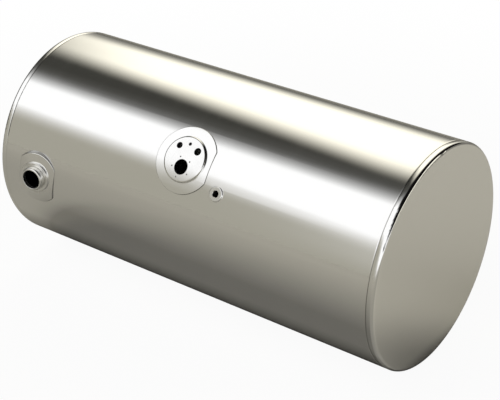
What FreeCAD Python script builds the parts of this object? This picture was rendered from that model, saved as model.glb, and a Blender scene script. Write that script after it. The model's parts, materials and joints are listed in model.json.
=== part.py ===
import FreeCAD, Part
import math
import os
from FreeCAD import Placement, Rotation, Vector

# Truck fuel tank: a rolled aluminium barrel closed by two pressed flat heads.
# Frame: origin on the barrel's axis, half way between the heads. +X runs along the axis
# to the right head, -Y is the front with the fittings, +Z is up. Millimetres and degrees.

# Barrel and heads
tank_diameter = 584.2
tank_length = 1191.4
barrel_wall = 3.2
head_wall = 3.2
knuckle_radius = 9.0
flange_length = 19.0
joggle_run = 6.0
lip_length = 14.0
lip_clearance = 0.15
barrel_edge_run = 3.0
barrel_edge_drop = 0.4
head_edge_run = 8.0
head_edge_drop = 0.9
long_seam_angle = 200.0
long_seam_width = 6.0
long_seam_height = 0.6

# Low pad for the sender plate, pressed out of the barrel and a little flatter than it
sender_x = 5.0
sender_angle = 38.6
sender_pad_radius = 87.0
sender_pad_cut = 10.5
sender_pad_rise = 1.5
sender_pad_edge = 1.2
sender_face_radius = 405.0
pad_corner = 4.0

# Double-D pad for the filler, leaning towards the middle of the tank and rolled off at its high side
filler_from_end = 139.0
filler_height = 21.0
filler_angle = 2.0
filler_lean_angle = 9.0
filler_spin_angle = -10.1
filler_pad_radius = 71.0
filler_pad_cut = 13.5
filler_pad_drop = 5.0
filler_pad_rise = 11.0
filler_pad_edge = 2.4
filler_face_radius = 290.0
filler_roll_start = 22.0
filler_roll_radius = 80.0
filler_roll_angle = 60.0

# Filler ring and neck, both welded round
ring_radius = 42.0
ring_thickness = 4.5
ring_edge = 2.2
groove_width = 2.0
neck_lip = 6.0
neck_wall = 3.0
neck_height = 20.0
neck_edge = 4.8
mouth_edge = 1.0
mouth_radius = 26.0
mouth_depth = 14.0
neck_inner_reach = 12.0
neck_seat_clearance = 0.1

# Sender plate: a turned block, crowned like the pad, with a spigot through it
plate_radius = 60.4
plate_height = 7.0
plate_edge = 5.2
spigot_radius = 52.0
spigot_length = 9.0
spigot_clearance = 0.15
sender_hole_radius = 19.4
sender_hole_offset = -22.0
screw_circle = 54.0
screw_count = 5
screw_hole_radius = 2.1
screw_hole_depth = 12.0
screw_start_angle = 43.7
draw_port_radius = 8.1
draw_port_x = -28.0
draw_port_up = 28.5
return_port_radius = 9.6
return_port_x = 29.4
return_port_up = 27.0
vent_port_radius = 4.3
vent_port_x = 0.0
vent_port_up = 39.4
port_chamfer = 0.8
port_lead = 0.6
port_lead_below = 0.1

# Dip tubes below the draw and return ports
tube_radius = 6.35
tube_wall = 1.2
tube_collar = 2.5
tube_collar_thickness = 2.5
tube_bend_radius = 45.0
draw_run = 170.0
return_run = 120.0
draw_floor_gap = 22.0
return_floor_gap = 90.0

# Side port: a small round threaded boss
side_port_from_sender = 117.5
side_port_angle = 27.8
side_port_radius = 19.7
side_port_rise = 3.6
side_port_edge = 2.8
side_port_bore = 8.4
side_port_spigot_radius = 14.0
side_port_spigot_length = 12.0

# Drain: a boss let into the bottom of the barrel, closed by a socket plug
drain_from_end = 115.7
drain_boss_radius = 22.0
drain_boss_rise = 5.0
drain_spigot_radius = 16.0
drain_spigot_length = 8.0
drain_bore = 9.1
plug_length = 12.0
plug_sink = 1.0
plug_clearance = 0.05
plug_socket_sides = 6
plug_socket_flats = 9.5
plug_socket_depth = 7.0

# Slosh baffles: pressed discs with a rim and flow holes
compartment_count = 3
baffle_wall = 2.5
baffle_clearance = 0.2
baffle_rim = 26.0
baffle_corner = 12.0
baffle_centre_hole = 50.0
baffle_flow_hole = 36.0
baffle_flow_circle = 175.0
baffle_flow_count = 6
baffle_lip = 7.0
baffle_notch_radius = 34.0
baffle_bead_radius = 118.0
baffle_bead_size = 6.0

tank_radius = tank_diameter / 2
barrel_inside = tank_radius - barrel_wall
barrel_length = tank_length - 2 * flange_length
sender_pad_chord = sender_pad_radius - sender_pad_cut
filler_pad_chord = filler_pad_radius - filler_pad_cut
filler_x = filler_from_end - tank_length / 2
neck_outer_radius = mouth_radius + neck_lip
drain_x = tank_length / 2 - drain_from_end
side_port_x = sender_x + side_port_from_sender
baffle_spacing = tank_length / compartment_count
sunk = 60.0
open_past = 5.0
touching = 1e-6
AXIS = Vector(1, 0, 0)


def surface_frame(x, angle, lean=0.0, spin=0.0, height=None):
    """A place on the barrel: local X along the tank, Y up round it, Z straight out.

    With a height, the place is that far above the axis and its Z starts out level.
    """
    if height is None:
        base_angle = math.radians(angle)
    else:
        base_angle = math.asin(height / tank_radius)
    base = Vector(x, -tank_radius * math.cos(base_angle), tank_radius * math.sin(base_angle))
    turned = math.radians(angle)
    up = Vector(0, math.sin(turned), math.cos(turned))
    out = Vector(0, -math.cos(turned), math.sin(turned))
    level = Rotation(AXIS, up, out, "ZXY")
    leaned = level.multiply(Rotation(Vector(0, 1, 0), lean))
    return Placement(base, leaned.multiply(Rotation(Vector(0, 0, 1), spin)))


def placed(shape, frame):
    """The shape moved from its local frame to its place on the tank."""
    moved = shape.copy()
    moved.Placement = frame.multiply(shape.Placement)
    return moved


def cylinder(radius, low, high, x=0.0, y=0.0):
    """An upright cylinder between two heights."""
    return Part.makeCylinder(radius, high - low, Vector(x, y, low))


def lengthwise(radius, low, high):
    """A cylinder on the tank's axis between two stations."""
    return Part.makeCylinder(radius, high - low, Vector(low, 0, 0), AXIS)


def turned_about_x(points, turn=360):
    """The solid that a closed outline of (x, radius) points and arcs makes round the tank's axis."""
    return Part.Face(outline(points)).revolve(Vector(0, 0, 0), AXIS, turn)


def turned_about_z(points):
    """The solid that a closed outline of (radius, z) points and arcs makes round a local Z."""
    flat = outline(points)
    flat.rotate(Vector(0, 0, 0), AXIS, 90)
    return Part.Face(flat).revolve(Vector(0, 0, 0), Vector(0, 0, 1), 360)


def outline(points):
    """A closed wire. A plain pair is a corner, and ("arc", middle, end) is an arc to its end."""
    edges = []
    here = Vector(points[0][0], points[0][1], 0)
    start = here
    for step in points[1:]:
        if step[0] == "arc":
            middle = Vector(step[1][0], step[1][1], 0)
            there = Vector(step[2][0], step[2][1], 0)
            edges.append(Part.Arc(here, middle, there).toShape())
        else:
            there = Vector(step[0], step[1], 0)
            edges.append(Part.makeLine(here, there))
        here = there
    if here.distanceToPoint(start) > touching:
        edges.append(Part.makeLine(here, start))
    return Part.Wire(edges)


def corner(centre_x, centre_y, radius, from_angle, to_angle):
    """The arc step round a centre between two angles."""
    half = math.radians((from_angle + to_angle) / 2)
    end = math.radians(to_angle)
    middle = (centre_x + radius * math.cos(half), centre_y + radius * math.sin(half))
    last = (centre_x + radius * math.cos(end), centre_y + radius * math.sin(end))
    return ("arc", middle, last)


def middle_of_edge(x, run, drop):
    """The middle of the shallow arc that leaves the tank's full radius at x and falls over the run."""
    half_turn = math.atan(drop / abs(run))
    radius = abs(run) / math.sin(2 * half_turn)
    along = math.copysign(radius * math.sin(half_turn), run)
    return (x + along, tank_radius - radius * (1 - math.cos(half_turn)))


def d_prism(radius, chord_low, chord_high, corner_radius, low, high):
    """A round prism cut straight along one or both sides across the tank, with rounded corners."""
    prism = cylinder(radius, low, high)
    sides = Part.makeBox(chord_low + chord_high, 2 * radius, high - low, Vector(-chord_low, -radius, low))
    prism = prism.common(sides)
    uprights = [edge for edge in prism.Edges if is_corner(edge, chord_low, chord_high, radius)]
    return prism.makeFillet(corner_radius, uprights)


def is_corner(edge, chord_low, chord_high, radius):
    """Whether an edge is an upright one where a straight side meets the round."""
    ends = [vertex.Point for vertex in edge.Vertexes]
    if len(ends) < 2 or abs(ends[0].z - ends[1].z) < touching:
        return False
    x = ends[0].x
    on_low = abs(x + chord_low) < touching and chord_low < radius
    on_high = abs(x - chord_high) < touching and chord_high < radius
    return on_low or on_high


def crown(rise, face_radius):
    """Everything under a face that bends round the tank, with its crest at the rise."""
    axis_point = Vector(-2 * sunk, 0, rise - face_radius)
    solid = Part.makeCylinder(face_radius, 4 * sunk, axis_point, AXIS)
    solid.rotate(axis_point, AXIS, 180)
    return solid


def rolled_crown(rise, face_radius, roll_start, roll_radius):
    """The upper half of the same, with the low X side rolled off in an arc."""
    roll = corner(-roll_start, face_radius - roll_radius, roll_radius, 90 + filler_roll_angle, 90)
    end = math.radians(90 + filler_roll_angle)
    low_x = -roll_start + roll_radius * math.cos(end)
    low_radius = face_radius - roll_radius + roll_radius * math.sin(end)
    profile = [(low_x, 0), (low_x, low_radius), roll, (2 * sunk, face_radius), (2 * sunk, 0)]
    solid = turned_about_x(profile, 180)
    solid.translate(Vector(0, 0, rise - face_radius))
    return solid


def crown_height(rise, face_radius, y):
    """How high a crowned face stands at a distance from its crest."""
    return rise - face_radius + math.sqrt(face_radius ** 2 - y ** 2)


def rim_edges(shape, face_radius, rise):
    """The edges that bound a crowned face, without the upright ones."""
    rim = []
    for edge in shape.Edges:
        middle = edge.valueAt((edge.FirstParameter + edge.LastParameter) / 2)
        if middle.z > crown_height(rise, face_radius, middle.y) - sunk / 2:
            ends = [vertex.Point for vertex in edge.Vertexes]
            upright = abs(ends[0].x - ends[-1].x) < touching and abs(ends[0].y - ends[-1].y) < touching
            if not upright or len(ends) < 2:
                rim.append(edge)
    return rim


def pad_outer(prism, face, rise, face_radius, edge_radius):
    """The pad's outside, with the rim of its face rounded."""
    pad = prism.common(face)
    return pad.makeFillet(edge_radius, rim_edges(pad, face_radius, rise))


def sender_frame():
    return surface_frame(sender_x, sender_angle)


def filler_frame():
    return surface_frame(filler_x, filler_angle, filler_lean_angle, filler_spin_angle, filler_height)


def sender_pad():
    """The sender pad's outside and the hollow one sheet thickness inside it, in the pad's frame."""
    radius = sender_pad_radius
    chord = sender_pad_chord
    rise = sender_pad_rise
    face = sender_face_radius
    wall = barrel_wall
    uncut = radius + wall
    prism = d_prism(radius, uncut, chord, pad_corner, -sunk, sunk)
    outside = pad_outer(prism, crown(rise, face), rise, face, sender_pad_edge)
    hollow = d_prism(radius - wall, uncut, chord - wall, pad_corner - wall / 2, -2 * sunk, sunk)
    return outside, hollow.common(crown(rise - wall, face - wall))


def filler_pad():
    """The same for the filler's leaning pad."""
    radius = filler_pad_radius
    chord = filler_pad_chord
    rise = filler_pad_rise
    face = filler_face_radius
    start = filler_roll_start
    roll = filler_roll_radius
    wall = barrel_wall
    drop = Vector(0, -filler_pad_drop, 0)
    prism = d_prism(radius, chord, chord, pad_corner, -sunk, sunk)
    prism.translate(drop)
    outside = pad_outer(prism, rolled_crown(rise, face, start, roll), rise, face, filler_pad_edge)
    hollow = d_prism(radius - wall, chord - wall, chord - wall, pad_corner - wall / 2, -2 * sunk, sunk)
    hollow.translate(drop)
    return outside, hollow.common(rolled_crown(rise - wall, face - wall, start, roll - wall))


def barrel():
    """The rolled sheet with its two pressed pads, hollow behind, and a hole for each fitting."""
    half = barrel_length / 2
    run = barrel_edge_run
    low_edge = tank_radius - barrel_edge_drop
    sender_out, sender_in = sender_pad()
    filler_out, filler_in = filler_pad()
    full = half - run
    body = turned_about_x([
        (-half, 0),
        (-half, low_edge),
        ("arc", middle_of_edge(-full, -run, barrel_edge_drop), (-full, tank_radius)),
        (full, tank_radius),
        ("arc", middle_of_edge(full, run, barrel_edge_drop), (half, low_edge)),
        (half, 0),
    ])
    body = body.fuse([placed(sender_out, sender_frame()), placed(filler_out, filler_frame()), long_weld()])
    hollow = lengthwise(barrel_inside, -half - open_past, half + open_past)
    hollow = hollow.fuse([placed(sender_in, sender_frame()), placed(filler_in, filler_frame())])
    plate_hole = cylinder(spigot_radius + spigot_clearance, -sunk, sender_pad_rise + open_past)
    neck_hole = cylinder(neck_outer_radius + neck_seat_clearance, -sunk, filler_pad_rise + open_past)
    side_hole = cylinder(side_port_spigot_radius + spigot_clearance, -sunk, sunk)
    drain_hole = cylinder(drain_spigot_radius + spigot_clearance, -sunk, sunk)
    holes = [
        placed(plate_hole, sender_frame()),
        placed(neck_hole, filler_frame()),
        placed(side_hole, surface_frame(side_port_x, side_port_angle)),
        placed(drain_hole, surface_frame(drain_x, -90.0)),
    ]
    return body.cut(hollow).cut(holes).removeSplitter()


def long_weld():
    """The low bead of the barrel's long seam, behind the tank."""
    half = barrel_length / 2 - barrel_edge_run
    width = long_seam_width
    strip = Part.makeBox(2 * half, width, barrel_wall, Vector(-half, -width / 2, -barrel_wall / 2))
    strip = placed(strip, surface_frame(0.0, long_seam_angle))
    return strip.common(lengthwise(tank_radius + long_seam_height, -half, half))


def head():
    """The right head: flat face, knuckle, short flange and a joggled lip that slips inside the barrel."""
    end = tank_length / 2
    seam = end - flange_length
    outer = tank_radius
    inner = tank_radius - head_wall
    lip_outer = barrel_inside - lip_clearance
    lip_inner = lip_outer - head_wall
    bend = knuckle_radius - head_wall
    run = head_edge_run
    points = [
        (end, 0),
        (end, outer - knuckle_radius),
        corner(end - knuckle_radius, outer - knuckle_radius, knuckle_radius, 0, 90),
        (seam + run, outer),
        ("arc", middle_of_edge(seam + run, -run, head_edge_drop), (seam, outer - head_edge_drop)),
        (seam, lip_outer),
        (seam - lip_length, lip_outer),
        (seam - lip_length, lip_inner),
        (seam, lip_inner),
        (seam + joggle_run, inner),
        (end - knuckle_radius, inner),
        corner(end - knuckle_radius, inner - bend, bend, 90, 0),
        (end - head_wall, 0),
    ]
    return turned_about_x(points)


def mirrored(shape):
    """The same piece turned round to the other end."""
    other = shape.copy()
    other.rotate(Vector(0, 0, 0), Vector(0, 0, 1), 180)
    return other


def filler_ring():
    """The ring round the neck, saddled on the pad, with a rounded outer edge and a groove beside the neck."""
    low = filler_pad_rise
    top = low + ring_thickness
    foot = crown_height(low, filler_face_radius, ring_radius) - filler_roll_radius
    inside = neck_outer_radius + neck_seat_clearance
    points = [
        (inside, foot),
        (ring_radius, foot),
        (ring_radius, top - ring_edge),
        corner(ring_radius - ring_edge, top - ring_edge, ring_edge, 0, 90),
        (inside + groove_width, top),
        (inside + groove_width, top - groove_width),
        (inside, top - groove_width),
    ]
    under = rolled_crown(low, filler_face_radius, filler_roll_start, filler_roll_radius)
    return placed(turned_about_z(points).cut(under), filler_frame())


def filler_neck():
    """The turned neck: a straight tube with a rounded mouth and a reach inside the pad."""
    top = filler_pad_rise + neck_height
    low = filler_pad_rise - neck_inner_reach
    outer = neck_outer_radius
    inner = neck_outer_radius - neck_wall
    points = [
        (inner, low),
        (outer, low),
        (outer, top - neck_edge),
        corner(outer - neck_edge, top - neck_edge, neck_edge, 0, 90),
        (mouth_radius + mouth_edge, top),
        corner(mouth_radius + mouth_edge, top - mouth_edge, mouth_edge, 90, 180),
        (mouth_radius, top - mouth_depth),
        (inner, top - mouth_depth - neck_wall),
    ]
    return placed(turned_about_z(points), filler_frame())


def port_cutter(radius, x, up, low, top, face_radius):
    """A drilled port with a steep lead-in that starts just below the crowned face's lowest point there."""
    start = crown_height(top, face_radius, abs(up) + radius) - port_lead_below
    bore = cylinder(radius, low, top, x, up)
    slope = port_lead / (top - start)
    end = top + open_past
    lead = Part.makeCone(radius, radius + slope * (end - start), end - start, Vector(x, up, start))
    return bore.cut(cylinder(2 * radius, start, end, x, up)).fuse(lead)


def sender_plate():
    """The turned block for the level sender, with its ports and tapped screw holes."""
    low = sender_pad_rise
    top = low + plate_height
    foot = low - spigot_length
    face = sender_face_radius
    crest = face + plate_height
    disc = cylinder(plate_radius, low - sunk, top + sunk).common(crown(top, crest))
    disc = disc.makeFillet(plate_edge, rim_edges(disc, crest, top))
    block = disc.cut(crown(low, face))
    block = block.fuse(cylinder(spigot_radius, foot, low).common(crown(low, face)))
    cutters = []
    for radius, x, up in (
        (sender_hole_radius, 0, sender_hole_offset),
        (draw_port_radius, draw_port_x, draw_port_up),
        (return_port_radius, return_port_x, return_port_up),
        (vent_port_radius, vent_port_x, vent_port_up),
    ):
        cutters.append(port_cutter(radius, x, up, foot - open_past, top, crest))
    for number in range(screw_count):
        turn = math.radians(screw_start_angle + number * 360 / screw_count)
        x = screw_circle / 2 * math.cos(turn)
        up = sender_hole_offset + screw_circle / 2 * math.sin(turn)
        cutters.append(cylinder(screw_hole_radius, top - screw_hole_depth, top + open_past, x, up))
    return placed(block.cut(cutters).removeSplitter(), sender_frame())


def dip_tube(port_x, port_up, port_radius, run, floor_gap):
    """A bent tube from below a port to near the bottom, with a collar that fills the port's foot."""
    frame = sender_frame()
    foot = sender_pad_rise - spigot_length
    start = frame.multVec(Vector(port_x, port_up, foot))
    inward = frame.Rotation.multVec(Vector(0, 0, -1))
    down = Vector(0, 0, -1)
    turn = math.radians(90 - sender_angle)
    setback = tube_bend_radius * math.tan(turn / 2)
    knee = start + inward * run
    floor = -math.sqrt(barrel_inside ** 2 - knee.y ** 2)
    end = Vector(knee.x, knee.y, floor + floor_gap)
    first = knee - inward * setback
    last = knee + down * setback
    centre_way = (down - inward * math.cos(turn)).normalize()
    centre = first + centre_way * tube_bend_radius
    middle = centre + (knee - centre).normalize() * tube_bend_radius
    path = Part.Wire([
        Part.makeLine(start, first),
        Part.Arc(first, middle, last).toShape(),
        Part.makeLine(last, end),
    ])
    outer = Part.Wire(Part.Circle(start, inward, tube_radius).toShape())
    inner = Part.Wire(Part.Circle(start, inward, tube_radius - tube_wall).toShape())
    skin = path.makePipeShell([outer], True, False)
    core = path.makePipeShell([inner], True, False)
    collar = cylinder(port_radius + tube_collar, foot - tube_collar_thickness, foot, port_x, port_up)
    collar = collar.cut(cylinder(tube_radius - tube_wall, foot - sunk, foot + open_past, port_x, port_up))
    return skin.cut(core).fuse(placed(collar, frame)).removeSplitter()


def side_port():
    """The small boss: saddle-shaped underneath, with a rounded collar, a tapped bore and a spigot."""
    top = side_port_rise
    depth = side_port_spigot_length
    points = [
        (side_port_bore, -depth),
        (side_port_spigot_radius, -depth),
        (side_port_spigot_radius, -barrel_wall / 2),
        (side_port_radius, -barrel_wall / 2),
        (side_port_radius, top - side_port_edge),
        corner(side_port_radius - side_port_edge, top - side_port_edge, side_port_edge, 0, 90),
        (side_port_bore + port_chamfer, top),
        (side_port_bore, top - port_chamfer),
    ]
    boss = placed(turned_about_z(points), surface_frame(side_port_x, side_port_angle))
    return boss.cut(sheet_round(side_port_spigot_radius, surface_frame(side_port_x, side_port_angle)))


def sheet_round(spigot, frame):
    """The barrel's sheet outside a spigot's hole, which a boss sits over."""
    ring = lengthwise(tank_radius, -tank_length, tank_length)
    ring = ring.cut(lengthwise(barrel_inside, -tank_length, tank_length))
    return ring.cut(placed(cylinder(spigot, -2 * sunk, 2 * sunk), frame))


def drain_boss():
    """The drain's weld-in boss, saddled on the barrel, with a straight tapped bore."""
    frame = surface_frame(drain_x, -90.0)
    points = [
        (drain_bore, -drain_spigot_length),
        (drain_spigot_radius, -drain_spigot_length),
        (drain_spigot_radius, -barrel_wall / 2),
        (drain_boss_radius, -barrel_wall / 2),
        (drain_boss_radius, drain_boss_rise - port_chamfer),
        (drain_boss_radius - port_chamfer, drain_boss_rise),
        (drain_bore, drain_boss_rise),
    ]
    return placed(turned_about_z(points), frame).cut(sheet_round(drain_spigot_radius, frame))


def drain_plug():
    """The screwed plug with a hexagon socket."""
    top = drain_boss_rise - plug_sink
    body = cylinder(drain_bore - plug_clearance, top - plug_length, top)
    corner_radius = plug_socket_flats / 2 / math.cos(math.pi / plug_socket_sides)
    corners = []
    for number in range(plug_socket_sides + 1):
        turn = 2 * math.pi * number / plug_socket_sides
        x = corner_radius * math.cos(turn)
        corners.append(Vector(x, corner_radius * math.sin(turn), top - plug_socket_depth))
    socket = Part.Face(Part.makePolygon(corners)).extrude(Vector(0, 0, plug_socket_depth + open_past))
    return placed(body.cut(socket), surface_frame(drain_x, -90.0))


def baffle():
    """A pressed disc across the barrel: rim turned one way, flow holes with lips, and a stiffening bead."""
    outer = barrel_inside - baffle_clearance
    bend = baffle_corner
    inner_bend = bend - baffle_wall
    points = [
        (0, 0),
        (0, outer - bend),
        corner(bend, outer - bend, bend, 180, 90),
        (baffle_rim, outer),
        (baffle_rim, outer - baffle_wall),
        (bend, outer - baffle_wall),
        corner(bend, outer - bend, inner_bend, 90, 180),
        (baffle_wall, baffle_bead_radius + 2 * baffle_bead_size),
        (baffle_wall + baffle_bead_size, baffle_bead_radius + baffle_bead_size / 2),
        (baffle_wall + baffle_bead_size, baffle_bead_radius - baffle_bead_size / 2),
        (baffle_wall, baffle_bead_radius - 2 * baffle_bead_size),
        (baffle_wall, 0),
    ]
    disc = turned_about_x(points)
    groove = [
        (0, baffle_bead_radius + 2 * baffle_bead_size - baffle_wall / 2),
        (baffle_bead_size, baffle_bead_radius + baffle_bead_size / 2 - baffle_wall / 2),
        (baffle_bead_size, baffle_bead_radius - baffle_bead_size / 2 + baffle_wall / 2),
        (0, baffle_bead_radius - 2 * baffle_bead_size + baffle_wall / 2),
    ]
    disc = disc.cut(turned_about_x(groove))
    disc = disc.fuse(lengthwise(baffle_centre_hole + baffle_wall, 0, baffle_lip + baffle_wall))
    cutters = [lengthwise(baffle_centre_hole, -open_past, baffle_rim)]
    for number in range(baffle_flow_count):
        turn = math.radians(number * 360 / baffle_flow_count)
        way = Vector(-open_past, baffle_flow_circle * math.cos(turn), baffle_flow_circle * math.sin(turn))
        cutters.append(Part.makeCylinder(baffle_flow_hole, baffle_rim, way, AXIS))
    for side in (-1, 1):
        cutters.append(
            Part.makeCylinder(baffle_notch_radius, 2 * baffle_rim, Vector(-open_past, 0, side * outer), AXIS)
        )
    return disc.cut(cutters)


def save(name, shape):
    """One file for each node, with what was built."""
    shape.exportStep(os.path.join("parts", name + ".step"))
    volume = round(shape.Volume / 1000, 1)
    print(name, "solids", len(shape.Solids), "valid", shape.isValid(), "volume", volume, "cm3")


os.makedirs("parts", exist_ok=True)
right_head = head()
right_baffle = baffle()
right_baffle.translate(Vector(baffle_spacing / 2, 0, 0))
save("barrel", barrel())
save("head_right", right_head)
save("head_left", mirrored(right_head))
save("baffle_right", right_baffle)
save("baffle_left", mirrored(right_baffle))
save("filler_ring", filler_ring())
save("filler_neck", filler_neck())
save("sender_plate", sender_plate())
save("draw_tube", dip_tube(draw_port_x, draw_port_up, draw_port_radius, draw_run, draw_floor_gap))
save("return_tube", dip_tube(return_port_x, return_port_up, return_port_radius, return_run, return_floor_gap))
save("side_port", side_port())
save("drain_boss", drain_boss())
save("drain_plug", drain_plug())
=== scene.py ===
import json
import math

import bpy
from mathutils import Matrix, Vector


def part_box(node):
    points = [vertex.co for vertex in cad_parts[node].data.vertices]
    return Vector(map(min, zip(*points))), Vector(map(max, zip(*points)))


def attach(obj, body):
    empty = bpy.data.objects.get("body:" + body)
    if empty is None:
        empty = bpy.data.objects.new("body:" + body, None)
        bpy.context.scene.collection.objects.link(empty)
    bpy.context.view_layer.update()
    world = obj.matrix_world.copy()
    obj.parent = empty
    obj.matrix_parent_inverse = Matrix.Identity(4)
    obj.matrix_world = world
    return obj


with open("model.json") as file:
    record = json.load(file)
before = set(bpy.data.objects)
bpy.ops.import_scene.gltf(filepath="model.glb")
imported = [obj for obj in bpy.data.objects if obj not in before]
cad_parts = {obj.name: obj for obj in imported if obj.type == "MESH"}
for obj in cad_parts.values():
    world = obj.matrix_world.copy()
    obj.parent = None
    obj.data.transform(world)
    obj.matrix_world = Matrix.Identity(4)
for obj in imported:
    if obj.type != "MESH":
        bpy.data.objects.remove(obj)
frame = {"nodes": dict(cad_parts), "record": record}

nodes = frame["nodes"]
mounts = {mount["name"]: mount for mount in frame["record"]["mounts"]}
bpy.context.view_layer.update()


# Barrel: one aluminium sheet rolled round, with two low pads pressed out of its front. A
# wheel that runs round the tank buffs it to a mirror, but doesn't reach the pads' steep
# edges. These stay rough from the press and are painted darker as painted shade, less so
# on the filler pad. Inside, the sheet is as it left the mill.
buffed_colour = (0.93, 0.93, 0.925)
buffed_roughness = 0.085
band_roughness = (buffed_roughness - 0.014, buffed_roughness + 0.018)
cloud_roughness = (-0.008, 0.016)
mill_colour = (0.42, 0.42, 0.415)
mill_roughness = 0.42
inward_facing = (-0.35, -0.30)
# painted shade: the darker colour of the pads' steep edges
pad_edge_shade_colour = (0.37, 0.365, 0.345)
pressed_roughness = 0.48
pad_edge_facing = (0.84, 0.95)
past_filler_pad = (-0.35, -0.30)
filler_pad_share = 0.74
grain_scales = (900.0, 7.0, 7.0)
grain_depth = 0.0000012
band_scales = (46.0, 1.6, 1.6)
cloud_scales = (6.0, 6.0, 6.0)
wave_scales = (3.4, 1.9, 1.9)
wave_depth = 0.00012
noise_range = (0.3, 0.7)
seam_from_middle = 0.5767
straw_colour = (0.86, 0.84, 0.79)
straw_reach = 0.020
straw_share = 0.22
seam_line_colour = (0.40, 0.395, 0.38)
seam_line_edge = (0.0006, 0.0016)
seam_line_share = 0.75
left_seam_share = 0.2


def add_node(tree, kind, **settings):
    node = tree.nodes.new(kind)
    for name, value in settings.items():
        setattr(node, name, value)
    return node


def feed(tree, socket, value):
    """Link a socket, or set its own value. A colour of three parts becomes opaque."""
    if isinstance(value, bpy.types.NodeSocket):
        tree.links.new(value, socket)
    elif isinstance(value, tuple) and len(value) == 3 and len(socket.default_value) == 4:
        socket.default_value = (*value, 1.0)
    else:
        socket.default_value = value


def reckon(tree, operation, *values):
    node = add_node(tree, "ShaderNodeMath", operation=operation)
    for socket, value in zip(node.inputs, values):
        feed(tree, socket, value)
    return node.outputs[0]


def root_of_squares(tree, first, second):
    squares = [reckon(tree, "POWER", side, 2.0) for side in (first, second)]
    return reckon(tree, "SQRT", reckon(tree, "ADD", *squares))


def span(tree, value, low, high, start=0.0, end=1.0, soft=False):
    """Go from start to end while a value goes from low to high, and stay there beyond."""
    easing = "SMOOTHSTEP" if soft else "LINEAR"
    node = add_node(tree, "ShaderNodeMapRange", interpolation_type=easing)
    for name, number in (
        ("Value", value),
        ("From Min", low),
        ("From Max", high),
        ("To Min", start),
        ("To Max", end),
    ):
        feed(tree, node.inputs[name], number)
    return node.outputs["Result"]


def mix_colours(tree, share, first, second):
    node = add_node(tree, "ShaderNodeMix", data_type="RGBA")
    feed(tree, node.inputs["Factor"], share)
    feed(tree, node.inputs[6], first)
    feed(tree, node.inputs[7], second)
    return node.outputs[2]


def place_on(tree):
    """A point's place on its own piece, in metres from that piece's origin."""
    return add_node(tree, "ShaderNodeTexCoord").outputs["Object"]


def three_parts(tree, vector):
    node = add_node(tree, "ShaderNodeSeparateXYZ")
    feed(tree, node.inputs[0], vector)
    return node.outputs


def from_parts(tree, *parts):
    node = add_node(tree, "ShaderNodeCombineXYZ")
    for socket, part in zip(node.inputs, parts):
        feed(tree, socket, part)
    return node.outputs[0]


def speckle(tree, scales, detail, place=None):
    """Noise over the piece, stretched by its three scales in lines a metre."""
    if place is None:
        place = place_on(tree)
    stretch = add_node(tree, "ShaderNodeMapping")
    feed(tree, stretch.inputs["Vector"], place)
    feed(tree, stretch.inputs["Scale"], scales)
    noise = add_node(tree, "ShaderNodeTexNoise")
    feed(tree, noise.inputs["Vector"], stretch.outputs[0])
    feed(tree, noise.inputs["Scale"], 1.0)
    feed(tree, noise.inputs["Detail"], detail)
    return noise.outputs[0]


def raise_surface(tree, height, depth, below=None):
    node = add_node(tree, "ShaderNodeBump")
    feed(tree, node.inputs["Strength"], 1.0)
    feed(tree, node.inputs["Distance"], depth)
    feed(tree, node.inputs["Height"], height)
    if below is not None:
        feed(tree, node.inputs["Normal"], below)
    return node.outputs[0]


def new_metal(name, colour, roughness):
    metal = bpy.data.materials.new(name)
    metal.use_nodes = True
    shader = metal.node_tree.nodes["Principled BSDF"]
    shader.inputs["Base Color"].default_value = (*colour, 1.0)
    shader.inputs["Metallic"].default_value = 1.0
    shader.inputs["Roughness"].default_value = roughness
    return metal, metal.node_tree, shader


def give_finish(name, finish):
    nodes[name].data.materials.clear()
    nodes[name].data.materials.append(finish)


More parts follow.
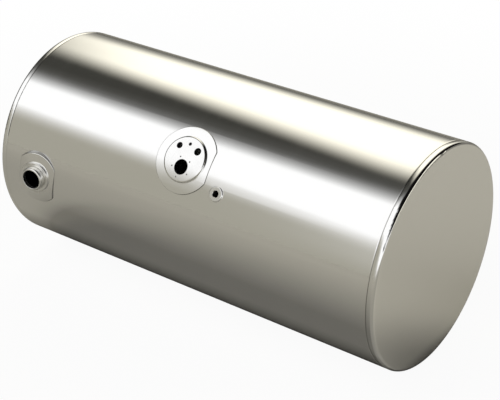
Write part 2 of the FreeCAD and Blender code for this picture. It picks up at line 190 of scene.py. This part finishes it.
def buffed_sheet(name, handed, has_pads=False):
    """Sheet buffed on its outside, with grain that runs round the tank.

    Handed is 1 for the barrel and the right head, and -1 for the left head.
    """
    metal, tree, shader = new_metal(name, buffed_colour, buffed_roughness)
    along, deep, high = three_parts(tree, place_on(tree))
    from_axis = root_of_squares(tree, deep, high)
    across = reckon(tree, "MULTIPLY_ADD", along, handed, from_axis)
    grain_place = from_parts(tree, across, deep, high)
    grain = speckle(tree, grain_scales, 2.0, grain_place)
    bands = speckle(tree, band_scales, 2.0, grain_place)
    clouds = speckle(tree, cloud_scales, 4.0)

    facing = add_node(tree, "ShaderNodeNewGeometry").outputs["Normal"]
    facing_along, facing_deep, facing_high = three_parts(tree, facing)
    outward_deep = reckon(tree, "MULTIPLY", facing_deep, deep)
    outward_high = reckon(tree, "MULTIPLY", facing_high, high)
    outward = reckon(tree, "ADD", outward_deep, outward_high)
    outward = reckon(tree, "DIVIDE", outward, from_axis)
    inside = span(tree, outward, *inward_facing, 1.0, 0.0)
    if not has_pads:
        head_facing = reckon(tree, "MULTIPLY", facing_along, handed)
        head_inside = span(tree, head_facing, *inward_facing, 1.0, 0.0)
        inside = reckon(tree, "MAXIMUM", inside, head_inside)

    seam_gap = reckon(tree, "SUBTRACT", reckon(tree, "ABSOLUTE", along), seam_from_middle)
    seam_gap = reckon(tree, "ABSOLUTE", seam_gap)
    straw = span(tree, seam_gap, 0.0, straw_reach, straw_share, 0.0, soft=True)
    straw = reckon(tree, "MULTIPLY", straw, span(tree, clouds, *noise_range))
    colour = mix_colours(tree, straw, buffed_colour, straw_colour)
    seam_line = span(tree, seam_gap, *seam_line_edge, seam_line_share, 0.0, soft=True)
    right_seam = span(tree, along, -0.5, 0.5, left_seam_share, 1.0)
    seam_line = reckon(tree, "MULTIPLY", seam_line, right_seam)
    colour = mix_colours(tree, seam_line, colour, seam_line_colour)

    rough = span(tree, bands, 0.25, 0.75, *band_roughness)
    rough = reckon(tree, "ADD", rough, span(tree, clouds, 0.35, 0.7, *cloud_roughness))
    mill_step = mill_roughness - buffed_roughness
    rough = reckon(tree, "MULTIPLY_ADD", inside, mill_step, rough)
    if has_pads:
        pad_edge_dull_and_shade = span(tree, outward, *pad_edge_facing, 1.0, 0.0, soft=True)
        pad_edge_dull_and_shade = reckon(tree, "MULTIPLY", pad_edge_dull_and_shade, reckon(tree, "SUBTRACT", 1.0, inside))
        pad_share = span(tree, along, *past_filler_pad, filler_pad_share, 1.0)
        pad_edge_dull_and_shade = reckon(tree, "MULTIPLY", pad_edge_dull_and_shade, pad_share)
        # Painted shade: the pads' steep edges are painted darker, which draws their dark edge
        # lines, and less so on the filler pad.
        colour = mix_colours(tree, pad_edge_dull_and_shade, colour, pad_edge_shade_colour)
        pressed_step = pressed_roughness - buffed_roughness
        rough = reckon(tree, "MULTIPLY_ADD", pad_edge_dull_and_shade, pressed_step, rough)
    colour = mix_colours(tree, inside, colour, mill_colour)

    waves = raise_surface(tree, speckle(tree, wave_scales, 1.0), wave_depth)
    feed(tree, shader.inputs["Base Color"], colour)
    feed(tree, shader.inputs["Roughness"], rough)
    feed(tree, shader.inputs["Normal"], raise_surface(tree, grain, grain_depth, waves))
    return metal


give_finish("barrel", buffed_sheet("buffed_barrel", 1.0, has_pads=True))


# Slosh baffles: two pressed discs with flow holes, tacked inside the barrel by their
# rims. They keep the mill's surface, with its faint rolling lines.
baffle_colour = (0.55, 0.55, 0.545)
baffle_roughness = 0.36
rolling_scales = (40.0, 40.0, 700.0)
rolling_depth = 0.00002
mill_cloud_scales = (22.0, 22.0, 22.0)
mill_dulling = 0.72
patch_range = (0.35, 0.75)


def mill_sheet(name, colour, roughness):
    metal, tree, shader = new_metal(name, colour, roughness)
    lines = speckle(tree, rolling_scales, 3.0)
    clouds = speckle(tree, mill_cloud_scales, 5.0)
    dull = tuple(part * mill_dulling for part in colour)
    patches = mix_colours(tree, span(tree, clouds, *patch_range), colour, dull)
    rough = span(tree, lines, *noise_range, roughness - 0.06, roughness + 0.10)
    feed(tree, shader.inputs["Base Color"], patches)
    feed(tree, shader.inputs["Roughness"], rough)
    feed(tree, shader.inputs["Normal"], raise_surface(tree, lines, rolling_depth))
    return metal


baffle_metal = mill_sheet("mill_sheet", baffle_colour, baffle_roughness)
for name in ("baffle_right", "baffle_left"):
    give_finish(name, baffle_metal)


# Heads: two pressed flat discs with a small corner radius and a short flange. The flange
# slips into the barrel and a weld fills the shallow groove between them, buffed with it.
give_finish("head_right", buffed_sheet("buffed_head_right", 1.0))
give_finish("head_left", buffed_sheet("buffed_head_left", -1.0))


# Long seam: the barrel's own weld, run along its back in one pass and left as it is, so
# its ripples show. Each ripple is a shallow crescent of metal that froze a little later.
bead_angle = math.radians(200.0)
bead_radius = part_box("barrel")[1].z
bead_reach = 0.5735
bead_half_width = 0.0035
bead_height = 0.0013
bead_start = 0.004
bead_sunk = 0.00005
bead_root = 0.0008
bead_root_width = 0.98
ripple_step = 0.0023
ripple_lag = 0.0016
ripple_share = 0.26
ripple_sharpness = 0.6
bead_rows = 2000
bead_columns = 10
weld_colour = (0.74, 0.735, 0.72)
weld_dull_colour = (0.42, 0.41, 0.39)
patchy_roughness = 0.3


def closed_strip(name, rows, columns, top_at, floor_at):
    """A long closed piece: a rippled top over a plain floor."""
    points = []
    for row in range(rows + 1):
        for column in range(columns + 1):
            points.append(top_at(row / rows, column / columns))
    top_count = len(points)
    for row in range(rows + 1):
        for column in (0, columns):
            points.append(floor_at(row / rows, column / columns))
    faces = []
    wide = columns + 1
    for row in range(rows):
        for column in range(columns):
            a = row * wide + column
            faces.append((a, a + 1, a + wide + 1, a + wide))
        low = top_count + row * 2
        faces.append((low, low + 2, low + 3, low + 1))
        left, right = row * wide, row * wide + columns
        faces.append((left, left + wide, low + 2, low))
        faces.append((right + wide, right, low + 1, low + 3))
    last = rows * wide
    low = top_count + rows * 2
    faces.append((*range(columns, -1, -1), top_count, top_count + 1))
    faces.append((*range(last, last + wide), low + 1, low))
    mesh = bpy.data.meshes.new(name)
    mesh.from_pydata(points, [], faces)
    mesh.polygons.foreach_set("use_smooth", [True] * len(mesh.polygons))
    mesh.update()
    return mesh


def on_barrel(along, beside, above):
    turn = bead_angle + beside / bead_radius
    reach = bead_radius + above
    return (along, -reach * math.cos(turn), reach * math.sin(turn))


def bead_top(run, side):
    across = side * 2.0 - 1.0
    along = (run * 2.0 - 1.0) * bead_reach
    crown = math.sqrt(max(0.0, 1.0 - across**2))
    lag = ripple_lag * across**2
    ripple = 0.5 + 0.5 * math.sin((along + lag) * math.tau / ripple_step)
    ripple = 1.0 - ripple_share + ripple_share * ripple**ripple_sharpness
    wander = 0.00018 * math.sin(along * 61.0) + 0.00012 * math.sin(along * 143.0 + 1.0)
    ends = min(1.0, (bead_reach - abs(along)) / bead_start)
    height = (bead_height * ripple + wander * 0.5) * crown * ends
    return on_barrel(along, across * bead_half_width + wander, height - bead_sunk)


def bead_floor(run, side):
    beside = (side * 2.0 - 1.0) * bead_half_width * bead_root_width
    return on_barrel((run * 2.0 - 1.0) * bead_reach, beside, -bead_root)


def patchy_metal(name, colour, other_colour, scale, detail, patches, roughness):
    """Metal that changes colour and shine in patches, and the noise they follow."""
    metal, tree, shader = new_metal(name, colour, patchy_roughness)
    clouds = speckle(tree, (scale, scale, scale), detail)
    patchy = mix_colours(tree, span(tree, clouds, *patches), colour, other_colour)
    feed(tree, shader.inputs["Base Color"], patchy)
    feed(tree, shader.inputs["Roughness"], span(tree, clouds, *noise_range, *roughness))
    return metal, tree, shader, clouds


bead_mesh = closed_strip("long_seam_weld", bead_rows, bead_columns, bead_top, bead_floor)
bead = bpy.data.objects.new("long_seam_weld", bead_mesh)
bpy.context.scene.collection.objects.link(bead)
weld_metal, *_ = patchy_metal(
    "weld_metal", weld_colour, weld_dull_colour, 240.0, 3.0, (0.4, 0.8), (0.24, 0.42)
)
bead_mesh.materials.append(weld_metal)
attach(bead, "root")


# Filler: a turned ring sits on its own pad, and a short turned neck stands in it, welded
# in the groove between them. Both are satin aluminium with fine lines from the lathe. The
# inside of the neck is painted near black, as painted shade down into the tank.
fitting_colour = (0.92, 0.92, 0.915)
fitting_roughness = 0.11
filler_colour = (0.93, 0.925, 0.90)
filler_roughness = 0.31
lathe_scales = (1500.0, 1.0, 1.0)
lathe_depth = 0.0000012
fitting_cloud_scales = (40.0, 40.0, 40.0)
fitting_dulling = 0.95
neck_bore = 0.0290
# painted shade: the near-black colour of the neck's bore
bore_shade_colour = (0.05, 0.048, 0.044)
bore_shade_edge = (0.0001, 0.0004)
bore_shade_below_mouth = (-0.005, -0.002)


def reckon_vector(tree, operation, *values):
    node = add_node(tree, "ShaderNodeVectorMath", operation=operation)
    for socket, value in zip(node.inputs, values):
        feed(tree, socket, value)
    return node.outputs


def turned_metal(
    name, centre, axis, colour=fitting_colour, roughness=fitting_roughness, bore=0.0
):
    """Turned aluminium, with the lathe's lines in rings round one axis.

    The bore, if one is given by its radius, is painted near black below the mouth, as
    painted shade down the hole.
    """
    metal, tree, shader = new_metal(name, colour, roughness)
    arm = reckon_vector(tree, "SUBTRACT", place_on(tree), tuple(centre))["Vector"]
    rise = reckon_vector(tree, "DOT_PRODUCT", arm, tuple(axis))["Value"]
    reach = reckon_vector(tree, "LENGTH", arm)["Value"]
    squares = [reckon(tree, "POWER", side, 2.0) for side in (reach, rise)]
    out = reckon(tree, "MAXIMUM", reckon(tree, "SUBTRACT", *squares), 0.0)
    out = reckon(tree, "SQRT", out)
    path = from_parts(tree, reckon(tree, "ADD", out, rise))
    rings = speckle(tree, lathe_scales, 2.0, path)
    clouds = speckle(tree, fitting_cloud_scales, 4.0)
    dull = tuple(part * fitting_dulling for part in colour)
    surface = mix_colours(tree, span(tree, clouds, *patch_range), colour, dull)
    # Painted shade: the bore is painted near black below the mouth, for the dark inside of the
    # hole.
    if bore:
        shade_from, shade_to = (bore + gap for gap in bore_shade_edge)
        bore_shade = span(tree, out, shade_from, shade_to, 1.0, 0.0)
        below_mouth = span(tree, rise, *bore_shade_below_mouth, 1.0, 0.0)
        bore_shade = reckon(tree, "MULTIPLY", bore_shade, below_mouth)
        surface = mix_colours(tree, bore_shade, surface, bore_shade_colour)
    rough = span(tree, rings, *noise_range, roughness - 0.02, roughness + 0.03)
    rough = reckon(tree, "ADD", rough, span(tree, clouds, *patch_range, -0.01, 0.02))
    feed(tree, shader.inputs["Base Color"], surface)
    feed(tree, shader.inputs["Roughness"], rough)
    feed(tree, shader.inputs["Normal"], raise_surface(tree, rings, lathe_depth))
    return metal


mouth = mounts["filler_mouth"]
filler_metal = turned_metal(
    "turned_filler", mouth["pos_m"], mouth["axis"], filler_colour, filler_roughness, neck_bore
)
for name in ("filler_ring", "filler_neck"):
    give_finish(name, filler_metal)


# Sender plate: a turned aluminium block let into the larger pad, with the level sender's
# plain opening. Its five screw holes and its three ports are tapped straight into the
# block, and the ports' threads are painted nearly black, as painted shade down the holes.
# painted shade: the near-black colour of the ports' threads, down the holes
port_thread_shade_colour = (0.008, 0.008, 0.0078)
port_thread_roughness = 0.5
port_thread_shine = 0.08
screw_thread_colour = (0.86, 0.86, 0.85)
screw_thread_roughness = 0.26
oil_scales = (500.0, 500.0, 500.0)
oil_dulling = 0.6
thread_around = 56
thread_per_pitch = 8
thread_skin = 0.00004
thread_depth_share = 0.55
port_pitches = {"draw_port": 0.0014, "return_port": 0.0014, "vent_port": 0.0009}
port_thread_inner_gap = 0.001
port_thread_outer_gap = 0.0004
screw_pitch = 0.0008
screw_thread_low = -0.009
screw_thread_high = 0.0006
first_screw_angle = 43.7


def cut_thread_metal(name, colour, roughness, metallic=1.0, shine=0.5):
    """Cut metal in a tapped hole, darkened in patches by what is left of the cutting oil."""
    metal, tree, shader = new_metal(name, colour, roughness)
    shader.inputs["Metallic"].default_value = metallic
    shader.inputs["Specular IOR Level"].default_value = shine
    clouds = speckle(tree, oil_scales, 3.0)
    oily = tuple(part * oil_dulling for part in colour)
    rough = span(tree, clouds, *noise_range, roughness - 0.06, roughness + 0.08)
    feed(tree, shader.inputs["Base Color"], mix_colours(tree, clouds, colour, oily))
    feed(tree, shader.inputs["Roughness"], rough)
    return metal


def tapped_thread(name, metal, centre, axis, radius, low, high, pitch):
    """A tapped hole's thread: a closed sleeve whose inside carries one helical ridge.

    Low and high are along the axis from the centre. The ridge fades out at both ends.
    """
    out = Vector(axis).normalized()
    side = Vector((1.0, 0.0, 0.0))
    side = (side - out * side.dot(out)).normalized()
    up = out.cross(side)
    middle = Vector(centre)

    def at(place, step, reach):
        turn = math.tau * step / thread_around
        return middle + out * place + (side * math.cos(turn) + up * math.sin(turn)) * reach

    ridge = pitch * thread_depth_share
    rows = max(8, round((high - low) / pitch * thread_per_pitch))
    points = []
    for row in range(rows + 1):
        place = low + (high - low) * row / rows
        fade = min(1.0, (high - place) / pitch, (place - low) / pitch)
        for step in range(thread_around):
            phase = (place / pitch - step / thread_around) % 1.0
            crest = 1.0 - abs(phase * 2.0 - 1.0)
            points.append(at(place, step, radius - thread_skin - ridge * crest * fade))
    for place in (low, high):
        for step in range(thread_around):
            points.append(at(place, step, radius + thread_skin))
    faces = []
    for row in range(rows):
        for step in range(thread_around):
            after = (step + 1) % thread_around
            a, b = row * thread_around + step, row * thread_around + after
            faces.append((a, a + thread_around, b + thread_around, b))
    under = (rows + 1) * thread_around
    over = under + thread_around
    last = rows * thread_around
    for step in range(thread_around):
        after = (step + 1) % thread_around
        faces.append((under + step, under + after, over + after, over + step))
        faces.append((step, after, under + after, under + step))
        faces.append((last + after, last + step, over + step, over + after))
    mesh = bpy.data.meshes.new(name)
    mesh.from_pydata(points, [], faces)
    mesh.update()
    mesh.materials.append(metal)
    thread = bpy.data.objects.new(name, mesh)
    bpy.context.scene.collection.objects.link(thread)
    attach(thread, "root")


def tap_port(name, pitch):
    port = mounts[name]
    reach = port["dims"]["length_mm"] / 2000.0
    radius = port["dims"]["r_mm"] / 1000.0
    low = -reach + port_thread_inner_gap
    high = reach - port_thread_outer_gap
    centre, axis = port["pos_m"], port["axis"]
    tapped_thread(f"{name}_thread", port_thread_shade_metal, centre, axis, radius, low, high, pitch)


sender = mounts["sender_opening"]
give_finish("sender_plate", turned_metal("turned_plate", sender["pos_m"], sender["axis"]))
# Painted shade: the ports' threads, the side port's too, are near black for the dark inside of
# the holes.
port_thread_shade_metal = cut_thread_metal(
    "port_thread_painted_shade", port_thread_shade_colour, port_thread_roughness, 0.0, port_thread_shine
)
screw_thread_metal = cut_thread_metal(
    "screw_thread", screw_thread_colour, screw_thread_roughness
)
for name, pitch in port_pitches.items():
    tap_port(name, pitch)

screws = mounts["sender_screws"]
screw_count = screws["dims"]["count"]
screw_radius = screws["dims"]["hole_r_mm"] / 1000.0
screw_axis = Vector(screws["axis"])
screw_side = Vector((1.0, 0.0, 0.0))
screw_up = screw_axis.cross(screw_side)
for count in range(screw_count):
    turn = math.radians(first_screw_angle + count * 360.0 / screw_count)
    arm = screw_side * math.cos(turn) + screw_up * math.sin(turn)
    tapped_thread(
        f"screw_thread_{count + 1}",
        screw_thread_metal,
        Vector(screws["pos_m"]) + arm * screws["dims"]["pcd_mm"] / 2000.0,
        screw_axis,
        screw_radius,
        screw_thread_low,
        screw_thread_high,
        screw_pitch,
    )


# Dip tubes: drawn aluminium tubes that hang below the draw and return ports, painted
# dark as painted shade down the ports.
# painted shade: the tubes' dark colour, for the dark inside of the ports
tube_shade_colour = (0.11, 0.11, 0.105)
tube_roughness = 0.5
tube_shade_metal = mill_sheet("drawn_tube_painted_shade", tube_shade_colour, tube_roughness)
for name in ("draw_tube", "return_tube"):
    give_finish(name, tube_shade_metal)


# Side port: a small turned aluminium boss with a collar, set through the barrel's front
# and welded in. Its bore is tapped like the sender plate's ports.
boss = mounts["side_port"]
boss_roughness = 0.2
boss_pitch = 0.0014
boss_metal = turned_metal("turned_boss", boss["pos_m"], boss["axis"], roughness=boss_roughness)
give_finish("side_port", boss_metal)
tap_port("side_port", boss_pitch)


# Drain: a turned boss in the bottom of the barrel, closed by a zinc-plated steel plug
# with a hexagon socket. Plating is faintly yellow and a little patchy.
plated_colour = (0.62, 0.60, 0.53)
plated_patch_colour = (0.50, 0.51, 0.53)
plated_depth = 0.00002
drain_low, drain_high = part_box("drain_boss")
drain_centre = ((drain_low.x + drain_high.x) / 2, 0.0, drain_low.z)
give_finish("drain_boss", turned_metal("turned_drain", drain_centre, (0.0, 0.0, -1.0)))
plated_metal, plated_tree, plated_shader, plated_clouds = patchy_metal(
    "plated_plug", plated_colour, plated_patch_colour, 180.0, 4.0, (0.4, 0.75), (0.24, 0.38)
)
plated_surface = raise_surface(plated_tree, plated_clouds, plated_depth)
feed(plated_tree, plated_shader.inputs["Normal"], plated_surface)
give_finish("drain_plug", plated_metal)


# Studio floor: plain and pale, just under the tank. The camera sees it white with the
# tank's faint shadow. The metal shows its pale paint with a painted shadow on it, which
# darkens it near the tank and under it, beside the right head, and far behind.
floor_reach = 6.0
floor_gap = 0.01
seen_white = (1.0, 1.0, 1.0)
shadow_paint = (0.95, 0.95, 0.95)
shadow_fade = (0.8, 2.6)
shadow_share = 0.06
floor_paint_colour = (0.684, 0.663, 0.598)
tank_centre_left = 0.04
tank_half_length = 0.55
tank_half_width = 0.40
end_steepness = 6.0
tank_shade_reach = 0.30
tank_shade_depth = 0.45
head_patch_middle = (0.60, -0.02)
head_patch_reach = (0.20, 0.15)
head_patch_depth = 0.36
past_head = (0.56, 0.64)
far_front_tone = 0.86
near_tone = 0.73
under_tone = 0.36
far_back_tone = 0.55

floor_mesh = bpy.data.meshes.new("studio_floor")
floor_corners = [
    (x * floor_reach, y * floor_reach, 0.0) for x, y in ((-1, -1), (1, -1), (1, 1), (-1, 1))
]
floor_mesh.from_pydata(floor_corners, [], [(0, 1, 2, 3)])
floor = bpy.data.objects.new("studio_floor", floor_mesh)
floor.location.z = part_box("barrel")[0].z - floor_gap
bpy.context.scene.collection.objects.link(floor)
floor_paint = bpy.data.materials.new("studio_floor")
floor_paint.use_nodes = True
floor_tree = floor_paint.node_tree
floor_tree.nodes.clear()
floor_place = place_on(floor_tree)
floor_x, floor_y, _ = three_parts(floor_tree, floor_place)


def floor_reckon(operation, *values):
    return reckon(floor_tree, operation, *values)


def floor_span(value, low, high, start=0.0, end=1.0, soft=False):
    return span(floor_tree, value, low, high, start, end, soft)


def floor_finish(kind, colour):
    node = add_node(floor_tree, kind)
    feed(floor_tree, node.inputs["Color"], colour)
    return node.outputs[0]


def mix_finishes(share, first, second):
    node = add_node(floor_tree, "ShaderNodeMixShader")
    for socket, value in zip(node.inputs, (share, first, second)):
        feed(floor_tree, socket, value)
    return node.outputs[0]


# Painted shadow on the floor's paint, which only the metal sees: darker near and under the
# tank, beside the right head and far behind.
past_end = floor_reckon("ABSOLUTE", floor_reckon("ADD", floor_x, tank_centre_left))
past_end = floor_reckon("MAXIMUM", floor_reckon("SUBTRACT", past_end, tank_half_length), 0.0)
past_end = floor_reckon("MULTIPLY", past_end, end_steepness)
past_side = floor_reckon("SUBTRACT", floor_reckon("ABSOLUTE", floor_y), tank_half_width)
past_side = floor_reckon("MAXIMUM", past_side, 0.0)
away = root_of_squares(floor_tree, past_end, past_side)
near_tank = floor_reckon("EXPONENT", floor_reckon("DIVIDE", away, -tank_shade_reach))
tank_shade = floor_reckon("MULTIPLY_ADD", near_tank, -tank_shade_depth, 1.0)
beside_head = floor_span(floor_x, *past_head, soft=True)
under_shade = floor_span(floor_reckon("ABSOLUTE", floor_y), 0.10, 0.26, under_tone, 1.0)
under_shade = floor_reckon("MAXIMUM", under_shade, beside_head)
tank_shade = floor_reckon("MULTIPLY", tank_shade, under_shade)

head_gaps = []
for place, middle, reach in zip((floor_x, floor_y), head_patch_middle, head_patch_reach):
    gap = floor_reckon("DIVIDE", floor_reckon("SUBTRACT", place, middle), reach)
    head_gaps.append(floor_reckon("POWER", gap, 2.0))
head_patch = floor_reckon("MULTIPLY", floor_reckon("ADD", *head_gaps), -1.0)
head_patch = floor_reckon("EXPONENT", head_patch)
head_shade = floor_reckon("MULTIPLY_ADD", head_patch, -head_patch_depth, 1.0)

front_shade = floor_span(floor_y, -2.6, -0.5, far_front_tone, near_tone)
head_front = floor_span(floor_y, -0.35, -0.05, near_tone, 1.0, soft=True)
head_front = floor_reckon("MULTIPLY", beside_head, head_front)
front_shade = floor_reckon("MAXIMUM", front_shade, head_front)
back_shade = floor_span(floor_y, 1.6, 3.2, 1.0, far_back_tone, soft=True)
floor_shade = floor_reckon(
    "MULTIPLY",
    floor_reckon("MULTIPLY", tank_shade, head_shade),
    floor_reckon("MULTIPLY", front_shade, back_shade),
)

# painted shadow: the floor's paint darkened by the shade masks above
painted_colour = mix_colours(floor_tree, floor_shade, (0.0, 0.0, 0.0), floor_paint_colour)
painted = floor_finish("ShaderNodeBsdfDiffuse", painted_colour)
white = floor_finish("ShaderNodeEmission", seen_white)
shadowed = floor_finish("ShaderNodeBsdfDiffuse", shadow_paint)
from_middle = reckon_vector(floor_tree, "LENGTH", floor_place)["Value"]
shadow = floor_span(from_middle, *shadow_fade, shadow_share, 0.0, soft=True)
backdrop = mix_finishes(shadow, white, shadowed)
floor_rays = add_node(floor_tree, "ShaderNodeLightPath").outputs
floor_seen = floor_reckon(
    "MAXIMUM", floor_rays["Is Camera Ray"], floor_rays["Is Transmission Ray"]
)
floor_out = add_node(floor_tree, "ShaderNodeOutputMaterial")
floor_surface = mix_finishes(floor_seen, painted, backdrop)
feed(floor_tree, floor_out.inputs["Surface"], floor_surface)
floor_mesh.materials.append(floor_paint)


# Studio light: a long soft box in front and above and a second one overhead and behind,
# a little askew to the tank, among pale walls with a dark ceiling and dark ends. Angles
# go round the tank's axis in degrees from the level front.
wall_colour = (0.385, 0.37, 0.312)
back_wall_colour = (0.30, 0.29, 0.255)
far_floor_colour = (0.150, 0.146, 0.130)
ceiling_colour = (0.070, 0.069, 0.062)
deep_ceiling_colour = (0.048, 0.047, 0.041)
dark_colour = (0.004, 0.004, 0.004)
glow_colour = (1.0, 1.0, 0.97)
glow_share = 0.36
box_shown = 1.08
box_light = 1.6
front_tones = (1.0, 1.0, 1.0)
top_tones = (1.22, 1.17, 1.0)
askew_start = -0.70
askew_middle = 0.54
front_near_askew, front_near_end, front_near_edge = 33.0, 0.35, (18.4, 37.2)
front_far_askew, front_far_end, front_far_edge = 9.0, -0.40, (68.0, 88.3)
top_near_askew, top_near_end, top_near_edge = 76.0, -0.45, (96.5, 125.0)
top_far_askew, top_far_end, top_far_edge = -34.0, -0.54, (159.5, 181.5)
top_left_end = (-0.72, -0.60)
dark_slope = 0.35
dark_edge_height = (0.43, 0.70)
dark_edge_lift = 0.48
dark_start_along = (-0.36, 0.10)
dark_start_shift = -1.2
dark_left_end = (-0.87, -0.77)
dark_left_share = 0.9

room = bpy.data.worlds.new("studio")
bpy.context.scene.world = room
room.use_nodes = True
sky = room.node_tree
sky.nodes.clear()
ray = add_node(sky, "ShaderNodeTexCoord").outputs["Generated"]
along, deep, high = three_parts(sky, ray)


def sky_reckon(operation, *values):
    return reckon(sky, operation, *values)


def share(value, low, high, start=0.0, end=1.0, soft=True):
    return span(sky, value, low, high, start, end, soft)


turn = sky_reckon("ARCTAN2", high, sky_reckon("MULTIPLY", deep, -1.0))
turn = sky_reckon("WRAP", sky_reckon("DEGREES", turn), 270.0, -90.0)


def turned_by(amount, last):
    """The angle round the tank, turned further the more a ray runs to the right."""
    askew = sky_reckon("MAXIMUM", sky_reckon("MINIMUM", along, last), askew_start)
    askew = sky_reckon("ADD", askew, askew_middle)
    return sky_reckon("MULTIPLY_ADD", askew, amount, turn)


front_near = turned_by(front_near_askew, front_near_end)
front_near = sky_reckon("POWER", share(front_near, *front_near_edge, soft=False), 2.0)
front_far = turned_by(front_far_askew, front_far_end)
front_far = sky_reckon("POWER", share(front_far, *front_far_edge, 1.0, 0.0, soft=False), 2.0)
front_box = sky_reckon("MULTIPLY", front_near, front_far)
top_near = share(turned_by(top_near_askew, top_near_end), *top_near_edge)
top_far = share(turned_by(top_far_askew, top_far_end), *top_far_edge, 1.0, 0.0)
top_box = sky_reckon("MULTIPLY", top_near, top_far)
top_box = sky_reckon("MULTIPLY", top_box, share(along, *top_left_end))

walls = mix_colours(sky, share(turn, 88.0, 92.0), wall_colour, back_wall_colour)
walls = mix_colours(sky, share(turn, 177.0, 185.0), walls, far_floor_colour)
overhead = share(turn, 130.0, 160.0, 1.0, 0.0)
overhead = sky_reckon("MULTIPLY", share(turn, 50.0, 75.0), overhead)
ceiling = mix_colours(sky, share(turn, 87.0, 97.0), ceiling_colour, deep_ceiling_colour)
surroundings = mix_colours(sky, overhead, walls, ceiling)
glow = sky_reckon("MULTIPLY", share(along, -0.56, -0.30), share(turn, -6.0, 16.0))
glow = sky_reckon("MULTIPLY", glow, share(turn, 30.0, 60.0, 1.0, 0.0))
glow = sky_reckon("MULTIPLY", glow, glow_share)
lit = mix_colours(sky, glow, surroundings, glow_colour)

rays = add_node(sky, "ShaderNodeLightPath").outputs
box_level = share(rays["Is Glossy Ray"], 0.0, 1.0, box_light, box_shown, soft=False)
for box, tones in ((front_box, front_tones), (top_box, top_tones)):
    box_colour = add_node(sky, "ShaderNodeCombineColor")
    for socket, tone in zip(box_colour.inputs, tones):
        feed(sky, socket, sky_reckon("MULTIPLY", box_level, tone))
    lit = mix_colours(sky, box, lit, box_colour.outputs[0])

dark_edge = sky_reckon("MULTIPLY_ADD", along, dark_slope, high)
edge_lift = share(deep, 0.60, 1.0, 0.0, dark_edge_lift, soft=False)
dark_edge = sky_reckon("ADD", dark_edge, edge_lift)
start_shift = share(deep, -0.90, -0.28, dark_start_shift, 0.0, soft=False)
dark_start = sky_reckon("ADD", along, start_shift)
dark_ends = sky_reckon(
    "MULTIPLY", share(dark_start, *dark_start_along), share(dark_edge, *dark_edge_height)
)
past_barrel = sky_reckon("MULTIPLY", share(along, 0.54, 0.64), share(turn, 138.0, 148.0))
dark_ends = sky_reckon("MULTIPLY", dark_ends, sky_reckon("SUBTRACT", 1.0, past_barrel))
dark_left = share(along, *dark_left_end, dark_left_share, 0.0)
dark_ends = sky_reckon("MAXIMUM", dark_ends, dark_left)
shown = mix_colours(sky, dark_ends, lit, dark_colour)

plain_rays = sky_reckon("MAXIMUM", rays["Is Camera Ray"], rays["Is Transmission Ray"])
studio = add_node(sky, "ShaderNodeBackground")
feed(sky, studio.inputs["Color"], mix_colours(sky, plain_rays, shown, seen_white))
sky_out = add_node(sky, "ShaderNodeOutputWorld")
feed(sky, sky_out.inputs["Surface"], studio.outputs[0])


# Camera: from the right and above, at the photograph's angle. Its lens and its distance
# are fitted to the tank's outline there, and nothing is out of focus.
azimuth = math.radians(36.67)
elevation = math.radians(28.66)
camera_distance = 3.5455
camera_right = 0.02589
camera_down = 0.02902
level = math.cos(elevation)
back = Vector((math.sin(azimuth) * level, -math.cos(azimuth) * level, math.sin(elevation)))
right = Vector((math.cos(azimuth), math.sin(azimuth), 0.0))
up = back.cross(right)
camera_data = bpy.data.cameras.new("camera")
camera_data.sensor_width = 36.0
camera_data.lens = 96.307
camera_data.dof.use_dof = False
camera = bpy.data.objects.new("camera", camera_data)
place = Matrix((right, up, back)).transposed().to_4x4()
place.translation = back * camera_distance + right * camera_right - up * camera_down
camera.matrix_world = place
bpy.context.scene.collection.objects.link(camera)
bpy.context.scene.camera = camera
bpy.context.scene.view_settings.view_transform = "Standard"
